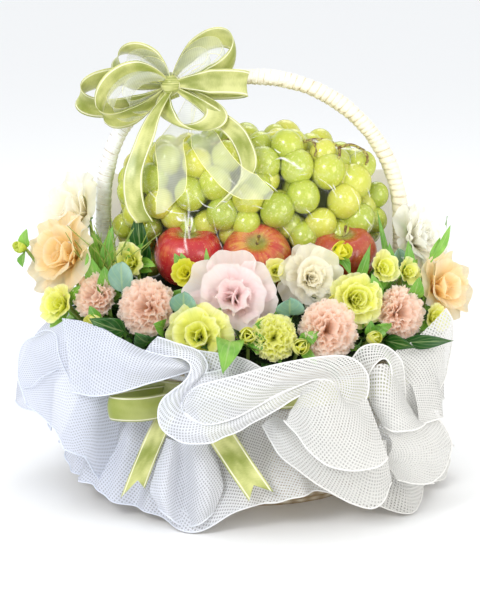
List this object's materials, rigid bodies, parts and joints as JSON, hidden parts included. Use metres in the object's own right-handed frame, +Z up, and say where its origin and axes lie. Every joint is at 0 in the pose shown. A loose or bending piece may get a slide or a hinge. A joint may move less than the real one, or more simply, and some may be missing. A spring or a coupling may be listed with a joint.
{
  "type": "fruit and flower gift basket",
  "caption": "Oval basket of grapes, apples and mixed blossoms in a white net wrap, with a wrapped arch handle, a satin bow and trailing ribbons.",
  "frame": {"origin": "centre of the basket's flat base, on the surface that it stands on", "axes": "+Z up through the handle's top, +X to the right seen from the front, -Y towards the front"},
  "size_m": [0.4437, 0.4196, 0.4548],
  "materials": {
    "woven_ivory": "matte",
    "moss": "matte",
    "paper_wrap_ivory": "satin",
    "apple_skin": "gloss",
    "grape_skin": "gloss",
    "liner_cloth": "matte",
    "net_white": "matte",
    "satin_green": "satin",
    "organza_white": "satin",
    "petal_pink": "matte",
    "petal_peach": "matte",
    "petal_apricot": "matte",
    "petal_cream": "matte",
    "petal_white": "matte",
    "petal_lime": "matte",
    "petal_yellow": "matte",
    "petal_green": "matte",
    "leaf_dark": "satin",
    "leaf_grey": "matte",
    "leaf_green": "satin"
  },
  "bodies": {
    "root": {"basket": "woven_ivory", "planting_bed": "moss", "handle": "paper_wrap_ivory", "apple_left": "apple_skin", "apple_middle": "apple_skin", "apple_right": "apple_skin", "grapes": "grape_skin", "liner": "liner_cloth", "net_wrap": "net_white", "satin_bow": "satin_green", "sheer_ribbon": "organza_white", "waist_ribbon": "satin_green", "lisianthus_pink": "petal_pink", "carnation_peach_left": "petal_peach", "carnation_peach_far_left": "petal_peach", "lisianthus_apricot_left": "petal_apricot", "lisianthus_cream_left": "petal_cream", "lisianthus_cream_middle": "petal_cream", "lisianthus_peach_front": "petal_peach", "carnation_peach_right": "petal_peach", "lisianthus_white_right": "petal_white", "lisianthus_apricot_right": "petal_apricot", "carnation_lime_right": "petal_lime", "carnation_lime_front": "petal_lime", "lisianthus_lime_front": "petal_lime", "bloom_lime_upper_left": "petal_lime", "bloom_yellow_left": "petal_yellow", "bloom_lime_low_left": "petal_lime", "bud_lime_left": "petal_lime", "bud_yellow_right": "petal_yellow", "bloom_lime_upper_right": "petal_lime", "bloom_lime_middle": "petal_lime", "bud_lime_front": "petal_lime", "bud_lime_front_right": "petal_lime", "bloom_lime_side_right": "petal_lime", "bloom_lime_low_right": "petal_lime", "bud_lime_low_right": "petal_lime", "bud_green_left": "petal_green", "leaf_dark_upper_left": "leaf_dark", "leaf_green_far_left": "leaf_green", "leaf_grey_left": "leaf_grey", "leaf_under_apple": "leaf_green", "leaf_spike_middle": "leaf_green", "leaf_grey_middle": "leaf_grey", "leaf_dark_low_left": "leaf_dark", "leaf_dark_front_left": "leaf_dark", "leaf_bright_front": "leaf_green", "leaf_over_net": "leaf_green", "leaf_grey_right": "leaf_grey", "leaf_tall_right": "leaf_green", "leaf_thin_right": "leaf_green", "leaf_grey_upper_right": "leaf_grey", "leaf_white_side_right": "leaf_green", "leaf_dark_blade_right": "leaf_dark", "leaf_dark_low_right": "leaf_dark", "leaf_dark_front_right": "leaf_dark"}
  },
  "joints": []
}
